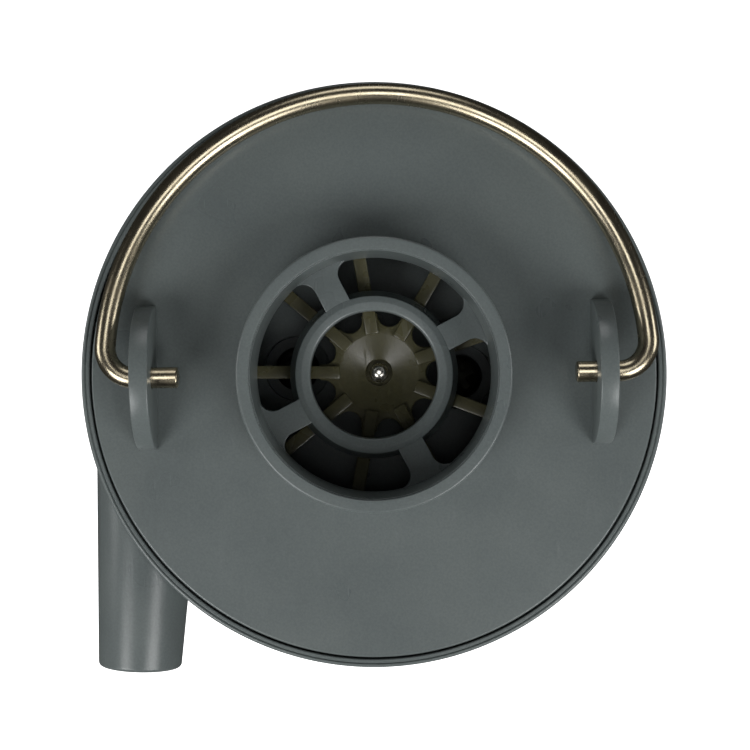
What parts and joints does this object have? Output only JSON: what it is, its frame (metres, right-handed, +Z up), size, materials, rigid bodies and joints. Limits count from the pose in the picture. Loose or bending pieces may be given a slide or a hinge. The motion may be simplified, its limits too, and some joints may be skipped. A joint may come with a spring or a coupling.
{
  "type": "mini air pump",
  "caption": "Palm-sized battery air pump with a grilled intake collar, a tangential outlet nozzle, a folding wire bail and a lamp in its foot.",
  "frame": {"origin": "centre of the resting face, on the axis of the body", "axes": "+Z up along the body's axis to the intake collar, the outlet nozzle on the left at -X pointing to the front at -Y, the charging port at +X"},
  "size_m": [0.057, 0.0578, 0.065],
  "materials": {
    "body_plastic": "fine moulded grain, satin",
    "bail_wire": "nickel-plated drawn wire",
    "impeller_nylon": "translucent moulded nylon",
    "bright_steel": "ground",
    "plated_steel": "zinc plated",
    "pale_nylon": "moulded",
    "ferrite": "sintered",
    "copper": "enamelled copper",
    "phenolic": "moulded",
    "bronze": "sintered bronze",
    "carbon": "pressed carbon",
    "tin_brass": "tinned",
    "screw_steel": "nickel plated",
    "cell_sleeve": "shrink sleeve on a metal can",
    "nickel_strip": "rolled nickel",
    "foam": "cut foam",
    "board_green": "solder mask",
    "board_white": "white solder mask",
    "black_plastic": "moulded",
    "button_plastic": "moulded",
    "cover_rubber": "moulded",
    "white_plastic": "moulded",
    "chip_resin": "phosphor resin",
    "lens_plastic": "frosted, translucent"
  },
  "bodies": {
    "pump_body": {"housing": "body_plastic", "intake_cover": "body_plastic", "foot_ring": "body_plastic", "motor_can": "plated_steel", "motor_end_bell": "pale_nylon", "motor_magnets": "ferrite", "front_bush": "bronze", "rear_bush": "bronze", "motor_brushes": "carbon", "motor_terminals": "tin_brass", "motor_screws": "screw_steel", "battery_cell_1": "cell_sleeve", "battery_cell_2": "cell_sleeve", "battery_cell_3": "cell_sleeve", "battery_cell_4": "cell_sleeve", "cell_straps": "nickel_strip", "cell_pads": "foam", "circuit_board": "board_green", "charge_socket": "plated_steel", "tact_switch": "black_plastic", "lamp_tray": "white_plastic", "lamp_board": "board_white", "lamp_chips": "chip_resin", "lamp_pins": "tin_brass", "case_screws": "screw_steel", "lens": "lens_plastic"},
    "rotor": {"impeller": "impeller_nylon", "motor_shaft": "bright_steel", "armature_core": "plated_steel", "armature_windings": "copper", "commutator": "copper", "commutator_sleeve": "phenolic"},
    "bail": {"bail": "bail_wire"},
    "button": {"power_button": "button_plastic", "switch_plunger": "pale_nylon"},
    "port_cover": {"port_cover": "cover_rubber"}
  },
  "joints": [
    {"name": "bail_pivot", "type": "hinge", "parent": "pump_body", "child": "bail", "pos_m": [0, 0, 0.0616], "axis": [1, 0, 0], "range_deg": [0, 190]},
    {"name": "rotor_spin", "type": "hinge", "parent": "pump_body", "child": "rotor", "pos_m": [0.0005, 0.0002, 0.05], "axis": [0, 0, 1], "continuous": true},
    {"name": "button_press", "type": "slide", "parent": "pump_body", "child": "button", "axis": [-0.6428, 0.766, 0], "range_m": [0, 0.0005], "stiffness_N_per_m": 400},
    {"name": "port_cover_swing", "type": "hinge", "parent": "pump_body", "child": "port_cover", "pos_m": [0.02621, 0.00761, 0.012], "axis": [0, 0, 1], "range_deg": [0, 100]}
  ]
}
